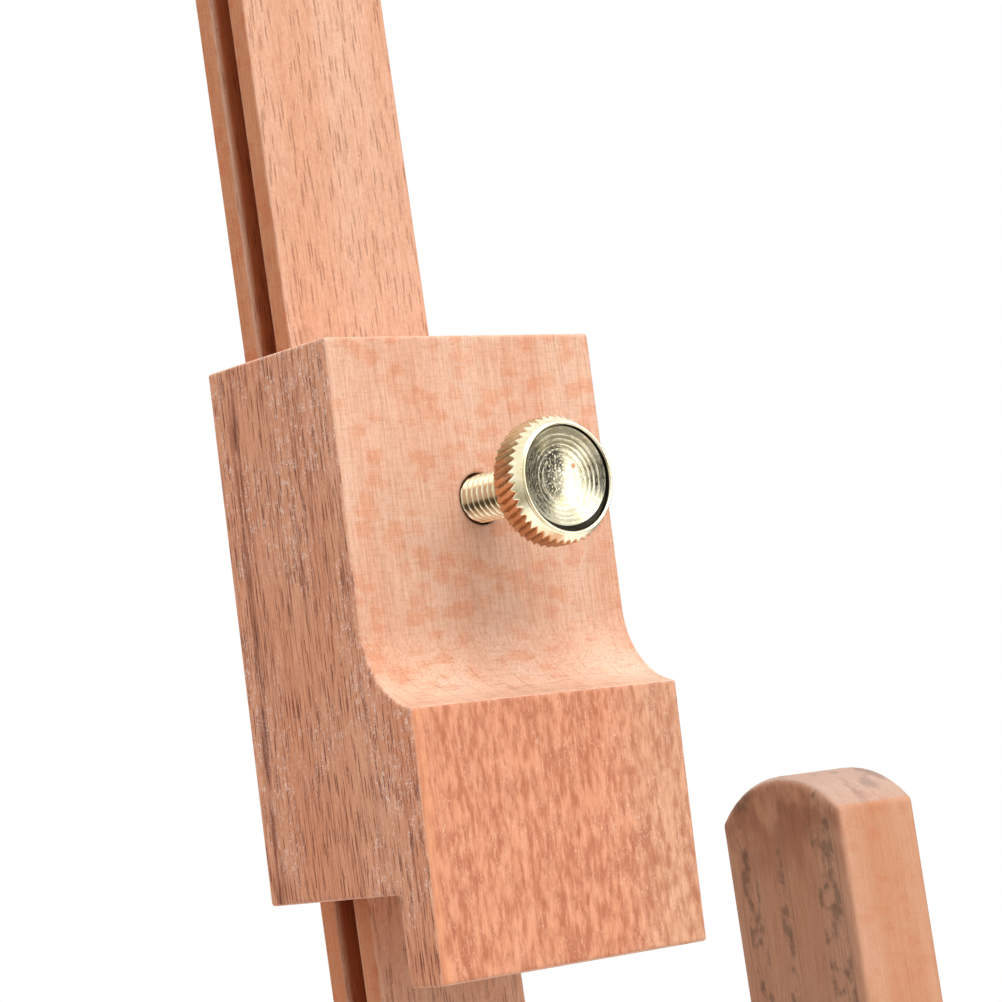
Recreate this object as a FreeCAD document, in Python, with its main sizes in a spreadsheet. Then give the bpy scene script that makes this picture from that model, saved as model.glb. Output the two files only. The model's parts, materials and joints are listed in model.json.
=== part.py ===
"""Tabletop H-frame easel in beech with brass thumb screws.

Axes: +X to the painter's right, +Y backwards, +Z up. The origin is on the table, at the centre
of the footprint. The leaning pieces are drawn in the frame of the mast: X across, Y backwards
through the wood and Z up along the mast, from the hinge line of the two posts.
"""
import FreeCAD, Part
import math
import os
import re
import Sketcher
from FreeCAD import Placement, Rotation, Vector

DIMENSIONS = [
    # alias, value (mm or degrees), meaning
    ("lean", 13.2, "backward lean of the mast"),
    ("hinge_y", -107.5, "hinge line of the posts, behind the origin"),
    ("hinge_z", 28.0, "hinge line above the table"),
    ("fit_gap", 0.05, "radial clearance of a running fit"),
    ("press_gap", 0.1, "gap left between pieces that press together"),
    ("overrun", 1.0, "cutting tool past the end of the wood"),
    ("wood_round", 0.45, "rounding of the wooden edges"),
    ("thin_round", 0.6, "rounding of the struts and base bars"),
    ("driver_slot", 0.7, "width of a screw's cross slot"),
    ("driver_depth", 0.9, "depth of a screw's cross slot"),
    # leaning frame
    ("post_width", 16.0, "post, side to side"),
    ("post_depth", 25.2, "post, front to back"),
    ("post_inner", 88.8, "inner face of a post from the middle"),
    ("post_top", 270.3, "front top corner of a post from the hinge line"),
    ("post_crown", 5.8, "rise of the rounded post top"),
    ("post_round", 1.4, "rounding of a post's edges"),
    ("bar_thick", 10.8, "crossbar, front to back"),
    ("bar_height", 30.0, "crossbar, along the mast"),
    ("lower_bar", 36.0, "bottom of the lower crossbar"),
    ("upper_bar", 200.0, "bottom of the upper crossbar"),
    ("bar_screw", 1.6, "crossbar screw"),
    ("bar_screw_head", 3.6, "head of a crossbar screw"),
    ("bar_screw_sink", 2.2, "height of that head"),
    ("bar_screw_bite", 14.0, "crossbar screw in the post"),
    ("bar_screw_half", 8.0, "crossbar screw from the middle of its bar"),
    # mast
    ("mast_width", 21.6, "mast, side to side"),
    ("mast_depth", 10.07, "mast, front to back"),
    ("mast_gap", 0.1, "mast to crossbar"),
    ("mast_round", 0.3, "rounding of the mast's edges"),
    ("mast_bottom", -18.0, "lower end of the mast"),
    ("mast_length", 450.0, "length of the mast"),
    ("groove_front", 2.97, "front rail thickness beside the groove"),
    ("groove_width", 3.99, "width of the side groove"),
    ("groove_depth", 4.5, "depth of the side groove"),
    # mast guides on the crossbars
    ("cheek_gap", 0.25, "mast to guide cheek"),
    ("cheek_width", 12.0, "guide cheek, side to side"),
    ("cheek_thick", 3.3, "guide cheek, front to back"),
    ("cheek_height", 24.0, "guide cheek and keeper, along the mast"),
    ("keeper_thick", 1.0, "brass keeper plate"),
    ("keeper_reach", 3.5, "keeper into the groove"),
    ("keeper_screw", 1.0, "keeper screw"),
    ("keeper_screw_head", 1.9, "head of a keeper screw"),
    ("keeper_screw_sink", 0.9, "height of that head"),
    ("keeper_screw_bite", 6.0, "keeper screw in the crossbar"),
    ("keeper_screw_half", 7.0, "keeper screw from the middle of its bar"),
    ("keeper_screw_out", 6.6, "keeper screw from the cheek's inner edge"),
    # sliding blocks
    ("block_width", 40.0, "holder and tray block, side to side"),
    ("channel_width", 22.4, "channel in the back of a block"),
    ("tongue_gap", 13.8, "opening between the two tongues"),
    ("tongue_thick", 2.0, "tongue that runs in the groove"),
    ("tongue_play", 0.15, "tray's tongue to the front of the groove"),
    ("tray_gap", 0.3, "tray block to the front of the mast"),
    ("holder_depth", 24.35, "holder, front face to back face"),
    ("holder_height", 64.3, "holder, back part"),
    ("holder_total", 74.8, "holder with its lip"),
    ("holder_place", 332.0, "top of the holder along the mast"),
    ("holder_to_mast", 18.38, "front face of the holder to front of the mast"),
    ("holder_play", 1.6, "tilt that the play of the tongues gives"),
    ("channel_floor", 17.4, "front face of the holder to its channel floor"),
    ("cove_start", 34.0, "start of the cove below the top"),
    ("cove_radius", 9.81, "radius of the cove"),
    ("lip_top", 43.6, "top front edge of the lip"),
    ("lip_reach", 7.8, "lip in front of the upper face, at its top"),
    ("lip_foot", 7.3, "lip in front of the upper face, at its foot"),
    ("lip_inner", 1.2, "inner face of the lip in front of the upper face"),
    ("holder_hole", 19.7, "screw hole below the top of the holder"),
    # canvas tray
    ("tray_place", 60.0, "bottom of the tray block along the mast"),
    ("tray_height", 40.0, "tray block, along the mast"),
    ("tray_front", 17.0, "tray block in front of the mast"),
    ("shelf_width", 200.0, "shelf, side to side"),
    ("shelf_depth", 40.0, "shelf, front to back"),
    ("shelf_thick", 9.0, "shelf"),
    ("rim_height", 8.0, "front strip above the shelf"),
    ("rim_thick", 6.5, "front strip, front to back"),
    ("shelf_screw", 1.6, "shelf screw"),
    ("shelf_screw_head", 3.2, "head of a shelf screw"),
    ("shelf_screw_sink", 1.9, "height of that head"),
    ("shelf_screw_bite", 16.0, "shelf screw in the tray block"),
    ("shelf_screw_half", 14.0, "shelf screw from the middle"),
    ("shelf_screw_in", 8.0, "shelf screw behind the front of the block"),
    # thumb screws
    ("screw_radius", 2.9, "M6 shank of a thumb screw, with its thread left out"),
    ("screw_chamfer", 0.5, "chamfer of the shank's tip and of the knurl"),
    ("thread_radius", 2.95, "threaded bore of an insert"),
    ("insert_radius", 4.5, "outside of a threaded insert"),
    ("insert_length", 10.0, "insert in a block"),
    ("insert_wall", 1.0, "insert short of the channel floor"),
    ("hole_radius", 3.15, "clearance hole round a thumb screw"),
    ("knurl_radius", 7.55, "knurled rim of the head"),
    ("knurl_length", 3.6, "knurled length of the head"),
    ("bevel_length", 1.5, "bevel in front of the knurl"),
    ("rim_radius", 6.6, "front rim of the head"),
    ("dish_radius", 6.2, "edge of the dish in the head"),
    ("dish_depth", 1.6, "depth of the dish"),
    ("dish_sweep", 12.5, "radius of the dish's curve"),
    ("dish_spot", 0.6, "flat spot in the middle of the dish"),
    ("holder_tip", 18.58, "tip of the holder's screw behind its front face"),
    ("holder_knob", 11.4, "head of the holder's screw in front of the holder"),
    ("tray_knob", 8.0, "head of the tray's screw in front of the tray block"),
    ("lock_knob", 9.0, "head of the mast's screw behind the upper crossbar"),
    ("clamp_knob", 1.5, "head of a foot screw outside its runner"),
    ("clamp_tip", 1.0, "tip of a foot screw outside the strut's inner face"),
    # struts
    ("strut_length", 126.5, "pivot to foot screw, as far as hinge to pivot"),
    ("strut_width", 16.0, "strut, front to back"),
    ("strut_thick", 9.0, "strut, side to side"),
    ("side_gap", 0.5, "gap between post, strut and runner"),
    ("strut_insert", 7.5, "length of the insert in a strut"),
    ("strut_skin", 0.5, "wood left inside a strut's screw hole"),
    ("washer_radius", 6.5, "washer under the head of a foot screw"),
    ("washer_thick", 1.2, "thickness of that washer"),
    # base
    ("runner_length", 315.0, "runner, front to back"),
    ("runner_height", 38.0, "height of a runner"),
    ("runner_width", 14.0, "runner, side to side"),
    ("runner_nose", 14.0, "rounding of the runner's upper ends"),
    ("foot_height", 3.0, "rubber foot"),
    ("foot_radius", 6.5, "radius of a rubber foot"),
    ("foot_inset", 16.0, "foot centre from the runner's end"),
    ("slot_half", 3.25, "half the height of the runner's slot"),
    ("slot_start", 22.5, "first place of the foot screw behind the hinge"),
    ("base_bar_depth", 35.0, "base bar, front to back"),
    ("base_bar_height", 10.0, "height of a base bar"),
    ("base_bar_z", 4.0, "underside of the base bars above the table"),
    ("front_bar_out", 12.0, "front base bar in front of the hinge line"),
    ("rear_bar_in", 10.0, "rear base bar from the runners' rear ends"),
    ("base_screw", 1.8, "base screw"),
    ("base_screw_head", 3.8, "head of a base screw"),
    ("base_screw_sink", 2.3, "height of that head"),
    ("base_screw_bite", 20.0, "base screw in the base bar"),
    ("base_screw_half", 10.0, "base screw from the middle of its bar"),
    ("foot_taper", 0.8, "taper of a rubber foot"),
    ("foot_bore", 2.4, "bore of a rubber foot"),
    ("pin_radius", 2.3, "foot pin at its head"),
    ("pin_foot", 1.4, "foot pin at its other end"),
    ("pin_sunk", 1.0, "foot pin above the table"),
    ("bolt_radius", 3.0, "hinge bolt"),
    ("bolt_head_radius", 5.2, "head of a hinge bolt"),
    ("bolt_head_height", 3.4, "height of a hinge bolt's head"),
    ("bolt_head_taper", 1.0, "taper of a hinge bolt's head"),
    ("bolt_thread", 3.0, "end of a bolt in its nut"),
    ("hex_socket", 2.3, "hexagon socket of a hinge bolt"),
    ("hex_depth", 2.0, "depth of that socket"),
    ("hinge_nut", 5.2, "hinge nut, over its corners"),
    ("spacer_radius", 6.0, "spacer on a hinge bolt"),
    ("pivot_radius", 2.5, "strut pivot bolt"),
    ("pivot_head", 5.0, "head of a pivot bolt"),
    ("pivot_nut", 4.4, "pivot nut, over its corners"),
    ("nut_height", 4.5, "height of a nut"),
]

doc = FreeCAD.newDocument("tabletop_easel")
sheet = doc.addObject("Spreadsheet::Sheet", "Dims")
size = {}
for row, (alias, number, meaning) in enumerate(DIMENSIONS, start=1):
    sheet.set("A%d" % row, meaning)
    sheet.set("B%d" % row, str(number))
    sheet.setAlias("B%d" % row, alias)
    size[alias] = number
doc.recompute()

ALONG_X, ALONG_Y, ALONG_Z = Vector(1, 0, 0), Vector(0, 1, 0), Vector(0, 0, 1)
SIDES = (("left", -1), ("right", 1))
SAME_PLACE = 1e-6
nodes = []


# ---------------------------------------------------------------- document helpers

def bound(expression):
    """Write an expression of plain aliases as one on the sheet."""
    return re.sub(r"[a-z_]+", lambda word: "Dims." + word.group(0), str(expression))


def value(expression):
    """Work out an expression of plain aliases."""
    return float(sheet.evalExpression(str(expression)))


def bind(feature, **bindings):
    """Bind properties to the sheet; two underscores in a name stand for a dot."""
    for name, expression in bindings.items():
        feature.setExpression(name.replace("__", "."), bound(expression))
    return feature


def bind_base(feature, at):
    return bind(feature, Placement__Base__x=at[0], Placement__Base__y=at[1], Placement__Base__z=at[2])


def node(feature, label, placement=None):
    """Name a finished piece and put it where it belongs on the easel."""
    feature.Label = label
    if placement is not None:
        feature.Placement = placement
    nodes.append(feature)
    return feature


def turned(axis):
    """Rotation that turns +Z to the axis."""
    return Rotation(ALONG_Z, axis)


def block(length, width, height, at):
    """Box of the given X, Y and Z size from its lowest corner."""
    feature = doc.addObject("Part::Box", "block")
    bind(feature, Length=length, Width=width, Height=height)
    return bind_base(feature, at)


def rod(radius, length, at, axis=ALONG_Z):
    feature = doc.addObject("Part::Cylinder", "rod")
    feature.Placement = Placement(Vector(), turned(axis))
    bind(feature, Radius=radius, Height=length)
    return bind_base(feature, at)


def cone(radius, top_radius, length, at, axis=ALONG_Z):
    feature = doc.addObject("Part::Cone", "cone")
    feature.Placement = Placement(Vector(), turned(axis))
    bind(feature, Radius1=radius, Radius2=top_radius, Height=length)
    return bind_base(feature, at)


def hexagon(radius, length, at, axis=ALONG_Z):
    feature = doc.addObject("Part::Prism", "hexagon")
    feature.Polygon = 6
    feature.Placement = Placement(Vector(), turned(axis))
    bind(feature, Circumradius=radius, Height=length)
    return bind_base(feature, at)


def fuse(*pieces):
    feature = doc.addObject("Part::MultiFuse", "joined")
    feature.Shapes = list(pieces)
    return feature


def group(pieces):
    """Separate solids that share one node."""
    feature = doc.addObject("Part::Compound", "group")
    feature.Links = list(pieces)
    return feature


def cut(base, *tools):
    feature = doc.addObject("Part::Cut", "cut")
    feature.Base = base
    feature.Tool = tools[0] if len(tools) == 1 else fuse(*tools)
    return feature


def origin_part(body, role):
    return next(part for part in body.Origin.OriginFeatures if part.Role == role)


def outline(body, role, points):
    """Closed sketch on an origin plane, with every corner placed from the sheet.

    Each point is (x, y), or (x, y, radius, bulge) where an arc of that radius runs to the next
    point and bulges to the left (1) or to the right (-1) of the way there.
    """
    sketch = body.newObject("Sketcher::SketchObject", "outline")
    sketch.AttachmentSupport = [(origin_part(body, role), "")]
    sketch.MapMode = "FlatFace"
    corners = [Vector(value(point[0]), value(point[1]), 0) for point in points]
    count = len(points)
    first_end = []
    for index, point in enumerate(points):
        start, finish = corners[index], corners[(index + 1) % count]
        if len(point) == 2:
            sketch.addGeometry(Part.LineSegment(start, finish), False)
        else:
            chord = finish - start
            radius = value(point[2])
            rise = radius - math.sqrt(radius ** 2 - chord.Length ** 2 / 4)
            left = Vector(-chord.y, chord.x, 0).normalize()
            crown = (start + finish) * 0.5 + left * rise * point[3]
            sketch.addGeometry(Part.Arc(start, crown, finish), False)
        first_end.append(1 if (sketch.getPoint(index, 1) - start).Length < SAME_PLACE else 2)
    for index, point in enumerate(points):
        before = (index - 1) % count
        here = first_end[index]
        sketch.addConstraint(Sketcher.Constraint("Coincident", before, 3 - first_end[before], index, here))
        for kind, expression, number in (("DistanceX", point[0], corners[index].x),
                                         ("DistanceY", point[1], corners[index].y)):
            datum = sketch.addConstraint(Sketcher.Constraint(kind, -1, 1, index, here, number))
            sketch.setExpression("Constraints[%d]" % datum, bound(expression))
        if len(point) > 2:
            datum = sketch.addConstraint(Sketcher.Constraint("Radius", index, value(point[2])))
            sketch.setExpression("Constraints[%d]" % datum, bound(point[2]))
    return sketch


def padded(role, points, width, round_edges=None):
    """Body whose outline is pushed out evenly to both sides of its plane."""
    body = doc.addObject("PartDesign::Body", "body")
    pad = body.newObject("PartDesign::Pad", "pad")
    pad.Profile = outline(body, role, points)
    pad.SideType = "Symmetric"
    bind(pad, Length=width)
    if round_edges:
        doc.recompute()
        rounding = body.newObject("PartDesign::Fillet", "rounding")
        rounding.Base = (pad, [])
        rounding.UseAllEdges = True
        bind(rounding, Radius=round_edges)
    return body


def board(length, width, height, at, round_edges="wood_round"):
    """Body of a straight board from its lowest corner, with rounded edges."""
    body = doc.addObject("PartDesign::Body", "body")
    blank = body.newObject("PartDesign::AdditiveBox", "blank")
    bind(blank, Length=length, Width=width, Height=height)
    bind_base(blank, at)
    doc.recompute()
    rounding = body.newObject("PartDesign::Fillet", "rounding")
    rounding.Base = (blank, [])
    rounding.UseAllEdges = True
    bind(rounding, Radius=round_edges)
    return body


def turned_body(points):
    """Body of an outline in X and Z that is turned about Z."""
    body = doc.addObject("PartDesign::Body", "body")
    turning = body.newObject("PartDesign::Revolution", "turning")
    turning.Profile = outline(body, "XZ_Plane", points)
    turning.ReferenceAxis = (origin_part(body, "Z_Axis"), [""])
    turning.Angle = 360
    return body


def check_document():
    """Stop at any feature that failed."""
    for feature in doc.Objects:
        if {"Invalid", "Error"} & set(feature.State):
            raise RuntimeError("%s (%s) failed: %s" % (feature.Name, feature.Label, feature.State))


# ---------------------------------------------------------------- places on the easel

HINGE = Vector(0, size["hinge_y"], size["hinge_z"])
LEANING = Placement(HINGE, Rotation(ALONG_X, -size["lean"]))

POST_MIDDLE = "(post_inner + post_width / 2)"
POST_OUTER = "(post_inner + post_width)"
STRUT_INNER = "(post_inner + post_width + side_gap)"
STRUT_OUTER = "(post_inner + post_width + side_gap + strut_thick)"
RUNNER_INNER = "(post_inner + post_width + 2 * side_gap + strut_thick)"
RUNNER_OUTER = "(post_inner + post_width + 2 * side_gap + strut_thick + runner_width)"
BAR_FRONT = "(-post_depth / 2 - bar_thick)"
MAST_FRONT = "(-post_depth / 2 - bar_thick - mast_gap - mast_depth)"
RUNNER_FRONT = "(-runner_length / 2)"


def across(side, near, far):
    """Lowest X of a piece that lies between two distances from the middle, on one side."""
    return near if side > 0 else "-" + far


def outward(side):
    return Vector(side, 0, 0)


# ---------------------------------------------------------------- fasteners

def screw_kind(alias, through):
    """Radius, head radius, height of the head and whole length of one kind of screw."""
    return alias, alias + "_head", alias + "_sink", "%s + %s_bite" % (through, alias)


def wood_screw(kind, at, axis):
    """Countersunk screw with its head's flat face at a point, driven along the axis."""
    radius, head_radius, head, length = kind
    return fuse(cone(head_radius, radius, head, at, axis), rod(radius, length, at, axis))


def cross_slots(kind, at, axis):
    """Two crossed slots for the driver."""
    slots = []
    reach = kind[1] + " * 0.65"
    for turn in (0, 90):
        slot = doc.addObject("Part::Box", "slot")
        bind(slot, Length="2 * " + reach, Width="driver_slot", Height="driver_depth")
        centred = Placement(Vector(-value(reach), -value("driver_slot / 2"), 0), Rotation())
        head = Placement(Vector(*(value(part) for part in at)), turned(axis) * Rotation(ALONG_Z, turn))
        slot.Placement = head * centred
        slots.append(slot)
    return slots


def screws(label, kind, places, placement=None):
    """Node of identical countersunk screws."""
    made = [cut(wood_screw(kind, at, axis), *cross_slots(kind, at, axis)) for at, axis in places]
    node(group(made), label, placement)


def screw_bores(kind, places):
    return [wood_screw(kind, at, axis) for at, axis in places]


def thumb_screw(label, length, placement):
    """Knurled brass screw: tip at the origin, head at the far end of +Z, with a dished face."""
    head = "(%s)" % length
    face = "(%s + knurl_length + bevel_length)" % length
    body = turned_body([
        (0, 0),
        ("screw_radius - screw_chamfer", 0),
        ("screw_radius", "screw_chamfer"),
        ("screw_radius", head),
        ("knurl_radius - screw_chamfer", head),
        ("knurl_radius", head + " + screw_chamfer"),
        ("knurl_radius", head + " + knurl_length"),
        ("rim_radius", face),
        ("dish_radius", face, "dish_sweep", -1),
        ("dish_spot", face + " - dish_depth"),
        (0, face + " - dish_depth"),
    ])
    node(body, label, placement)


def threaded_insert(label, length, placement):
    """Brass sleeve with a threaded bore, from the origin along +Z."""
    sleeve = cut(rod("insert_radius", length, (0, 0, 0)), rod("thread_radius", length, (0, 0, 0)))
    node(sleeve, label, placement)


# ---------------------------------------------------------------- leaning frame

BAR_SCREW = screw_kind("bar_screw", "bar_thick")
BAR_SCREW_PLACES = [
    ((side_x, BAR_FRONT, "%s + bar_height / 2 %s bar_screw_half" % (bottom, sign)), ALONG_Y)
    for bottom in ("lower_bar", "upper_bar")
    for side_x in ("-" + POST_MIDDLE, POST_MIDDLE)
    for sign in "-+"
]
KEEPER_FRONT = "(-post_depth / 2 - bar_thick - cheek_thick - keeper_thick)"
KEEPER_SCREW = screw_kind("keeper_screw", "keeper_thick + cheek_thick")
CHEEK_INNER = "(mast_width / 2 + cheek_gap)"
CHEEK_OUTER = "(mast_width / 2 + cheek_gap + cheek_width)"
GUIDES = (("upper", "upper_bar"), ("lower", "lower_bar"))


def keeper_screw_places(sides, bars):
    return [(("%d * (%s + keeper_screw_out)" % (side, CHEEK_INNER), KEEPER_FRONT,
              "%s + bar_height / 2 %s keeper_screw_half" % (bottom, sign)), ALONG_Y)
            for _, side in sides for _, bottom in bars for sign in "-+"]


def make_posts():
    for name, side in SIDES:
        half = "post_depth / 2"
        crown = "((post_depth / 2) ^ 2 + post_crown ^ 2) / (2 * post_crown)"
        post = padded("YZ_Plane", [
            ("-" + half, 0, half, -1),
            (0, "-" + half, half, -1),
            (half, 0),
            (half, "post_top", crown, -1),
            ("-" + half, "post_top"),
        ], "post_width", "post_round")
        middle = "%d * %s" % (side, POST_MIDDLE)
        post.Placement.Base = Vector(value(middle), 0, 0)
        inner = across(side, "post_inner", POST_OUTER)
        bores = [rod("bolt_radius + fit_gap", "post_width", (inner, 0, 0), ALONG_X),
                 rod("pivot_radius", "post_width", (inner, 0, "strut_length"), ALONG_X)]
        own = [place for place in BAR_SCREW_PLACES if value(place[0][0]) * side > 0]
        node(cut(post, *bores, *screw_bores(BAR_SCREW, own)), "post_" + name, LEANING)


def make_crossbars():
    for name, bottom in GUIDES:
        bar = board("2 * " + POST_OUTER, "bar_thick", "bar_height", ("-" + POST_OUTER, BAR_FRONT, bottom))
        own = [place for place in BAR_SCREW_PLACES if bottom in place[0][2]]
        tools = screw_bores(BAR_SCREW, own)
        tools += screw_bores(KEEPER_SCREW, keeper_screw_places(SIDES, [(name, bottom)]))
        if name == "upper":
            lock_at = (0, BAR_FRONT, bottom + " + bar_height / 2")
            tools.append(rod("insert_radius", "bar_thick", lock_at, ALONG_Y))
        node(cut(bar, *tools), name + "_crossbar", LEANING)
    screws("crossbar_screws", BAR_SCREW, BAR_SCREW_PLACES, LEANING)


def make_mast_guides():
    """Wooden cheeks beside the mast, under brass keepers that reach into its grooves."""
    for bar_name, bottom in GUIDES:
        foot = bottom + " + (bar_height - cheek_height) / 2"
        for name, side in SIDES:
            places = keeper_screw_places([(name, side)], [(bar_name, bottom)])
            cheek_x = across(side, CHEEK_INNER, CHEEK_OUTER)
            cheek = block("cheek_width", "cheek_thick", "cheek_height",
                          (cheek_x, BAR_FRONT + " - cheek_thick", foot))
            cheek = cut(cheek, *screw_bores(KEEPER_SCREW, places))
            node(cheek, "guide_cheek_%s_%s" % (bar_name, name), LEANING)
            keeper_x = across(side, "(mast_width / 2 - keeper_reach)", CHEEK_OUTER)
            keeper = block("cheek_width + cheek_gap + keeper_reach", "keeper_thick", "cheek_height",
                           (keeper_x, KEEPER_FRONT, foot))
            node(cut(keeper, *screw_bores(KEEPER_SCREW, places)), "keeper_%s_%s" % (bar_name, name), LEANING)
    screws("keeper_screws", KEEPER_SCREW, keeper_screw_places(SIDES, GUIDES), LEANING)


def make_mast():
    mast = board("mast_width", "mast_depth", "mast_length",
                 ("-mast_width / 2", MAST_FRONT, "mast_bottom"), "mast_round")
    grooves = [block("groove_depth", "groove_width", "mast_length + 2 * overrun",
                     (across(side, "(mast_width / 2 - groove_depth)", "(mast_width / 2)"),
                      MAST_FRONT + " + groove_front", "mast_bottom - overrun"))
               for _, side in SIDES]
    node(cut(mast, *grooves), "mast", LEANING)


def make_mast_lock():
    """Thumb screw that presses on the back of the mast through the upper crossbar."""
    middle = value("upper_bar + bar_height / 2")
    insert_at = Vector(0, value(BAR_FRONT), middle)
    threaded_insert("mast_lock_insert", "bar_thick", LEANING * Placement(insert_at, turned(ALONG_Y)))
    thumb_screw("mast_lock_screw", "bar_thick + lock_knob", LEANING * Placement(insert_at, turned(ALONG_Y)))


# ---------------------------------------------------------------- sliding holder and tray

def sliding_tools(front_to_floor, back, bottom, height):
    """Channel for the mast in the back of a block, with a tongue left on each side."""
    tongue_front = "(%s - tongue_thick)" % back
    return [block("channel_width", "%s - %s" % (tongue_front, front_to_floor), height,
                  ("-channel_width / 2", front_to_floor, bottom)),
            block("tongue_gap", "tongue_thick + overrun", height, ("-tongue_gap / 2", tongue_front, bottom))]


def screw_hole_tools(front, floor, at_height, insert_end):
    """Clearance hole, seat of the insert and bore behind it, along Y."""
    return [rod("hole_radius", "%s - %s" % (insert_end, front), (0, front, at_height), ALONG_Y),
            rod("insert_radius", "insert_length", (0, insert_end + " - insert_length", at_height), ALONG_Y),
            rod("hole_radius", "%s - %s" % (floor, front), (0, front, at_height), ALONG_Y)]


def make_holder():
    """Upper canvas holder. Its own frame starts at the top of its front face."""
    blank = padded("YZ_Plane", [
        (0, 0),
        (0, "-cove_start", "cove_radius", 1),
        ("-lip_reach", "-lip_top"),
        ("-lip_foot", "-holder_total"),
        ("-lip_inner", "-holder_total"),
        ("-lip_inner", "-holder_height"),
        ("holder_depth", "-holder_height"),
        ("holder_depth", 0),
    ], "block_width", "wood_round")
    middle = Vector(0, 0, -value("holder_height / 2"))
    seat = Vector(0, value(MAST_FRONT + " - holder_to_mast"), value("holder_place - holder_height / 2"))
    tilted = Placement(seat, Rotation(ALONG_X, size["holder_play"]))
    holder = LEANING * tilted * Placement(-middle, Rotation())
    tools = sliding_tools("channel_floor", "holder_depth",
                          "-holder_height - overrun", "holder_height + 2 * overrun")
    tools += screw_hole_tools("0", "channel_floor", "-holder_hole", "(channel_floor - insert_wall)")
    node(cut(blank, *tools), "holder_block", holder)
    seat_of_insert = Vector(0, value("channel_floor - insert_wall"), -size["holder_hole"])
    threaded_insert("holder_insert", "insert_length", holder * Placement(seat_of_insert, turned(-ALONG_Y)))
    tip = Vector(0, size["holder_tip"], -size["holder_hole"])
    thumb_screw("holder_screw", "holder_tip + holder_knob", holder * Placement(tip, turned(-ALONG_Y)))


def make_tray():
    """Canvas tray: a block on the mast that carries a shelf with a front strip."""
    front = "(%s - tray_front)" % MAST_FRONT
    floor = "(%s - tray_gap)" % MAST_FRONT
    back = "(%s + groove_front + tongue_play + tongue_thick)" % MAST_FRONT
    insert_end = "(%s - insert_wall)" % floor
    hole = "(tray_place + tray_height / 2)"
    shelf_front = "(%s - shelf_depth)" % floor
    shelf_bottom = "(tray_place + tray_height)"
    shelf_top = "(tray_place + tray_height + shelf_thick)"
    fixing = screw_kind("shelf_screw", "shelf_thick")
    screw_line = front + " + shelf_screw_in"
    places = [((sign + "shelf_screw_half", screw_line, shelf_top), -ALONG_Z) for sign in "-+"]
    blank = board("block_width", "%s - %s" % (back, front), "tray_height",
                  ("-block_width / 2", front, "tray_place"))
    tools = sliding_tools(floor, back, "tray_place - overrun", "tray_height + 2 * overrun")
    tools += screw_hole_tools(front, floor, hole, insert_end)
    node(cut(blank, *tools, *screw_bores(fixing, places)), "tray_block", LEANING)
    shelf = board("shelf_width", "shelf_depth", "shelf_thick",
                  ("-shelf_width / 2", shelf_front, shelf_bottom))
    node(cut(shelf, *screw_bores(fixing, places)), "tray_shelf", LEANING)
    node(board("shelf_width", "rim_thick", "rim_height", ("-shelf_width / 2", shelf_front, shelf_top)),
         "tray_rim", LEANING)
    screws("tray_shelf_screws", fixing, places, LEANING)
    insert_seat = Vector(0, value(insert_end), value(hole))
    threaded_insert("tray_insert", "insert_length", LEANING * Placement(insert_seat, turned(-ALONG_Y)))
    tip = Vector(0, value(MAST_FRONT + " - press_gap"), value(hole))
    thumb_screw("tray_screw", "tray_front - press_gap + tray_knob",
                LEANING * Placement(tip, turned(-ALONG_Y)))


# ---------------------------------------------------------------- struts

def make_struts():
    foot_y = size["hinge_y"] + 2 * size["strut_length"] * math.sin(math.radians(size["lean"]))
    for name, side in SIDES:
        half = "strut_width / 2"
        blank = padded("YZ_Plane", [
            ("-" + half, 0, half, -1),
            (0, "-" + half, half, -1),
            (half, 0),
            (half, "strut_length", half, -1),
            (0, "strut_length + " + half, half, -1),
            ("-" + half, "strut_length"),
        ], "strut_thick", "thin_round")
        blank.Placement.Base = Vector(value("%d * (%s + strut_thick / 2)" % (side, STRUT_INNER)), 0, 0)
        inward = -outward(side)
        outer_x = "%d * %s" % (side, STRUT_OUTER)
        pivot = (across(side, STRUT_INNER, STRUT_OUTER), 0, "strut_length")
        sink = "(pivot_head - pivot_radius + press_gap)"
        tools = [rod("pivot_radius + fit_gap", "strut_thick", pivot, ALONG_X),
                 cone("pivot_head + fit_gap + press_gap", "pivot_radius + fit_gap", sink,
                      (outer_x, 0, "strut_length"), inward),
                 rod("insert_radius", "strut_insert", (outer_x, 0, 0), inward),
                 rod("hole_radius", "strut_thick - strut_skin", (outer_x, 0, 0), inward)]
        foot = Vector(0, foot_y, size["hinge_z"])
        node(cut(blank, *tools), "strut_" + name, Placement(foot, Rotation(ALONG_X, size["lean"])))
        seat = foot + Vector(side * value(STRUT_OUTER), 0, 0)
        threaded_insert("strut_insert_" + name, "strut_insert", Placement(seat, turned(inward)))
        tip = foot + Vector(side * value(STRUT_INNER + " + clamp_tip"), 0, 0)
        thumb_screw("clamp_screw_" + name, "strut_thick - clamp_tip + side_gap + runner_width + clamp_knob",
                    Placement(tip, turned(outward(side))))
        washer_at = ("%d * (%s + press_gap)" % (side, RUNNER_OUTER), 0, 0)
        washer = cut(rod("washer_radius", "washer_thick", washer_at, outward(side)),
                     rod("screw_radius + fit_gap", "washer_thick", washer_at, outward(side)))
        node(washer, "clamp_washer_" + name, Placement(foot, Rotation()))


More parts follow.
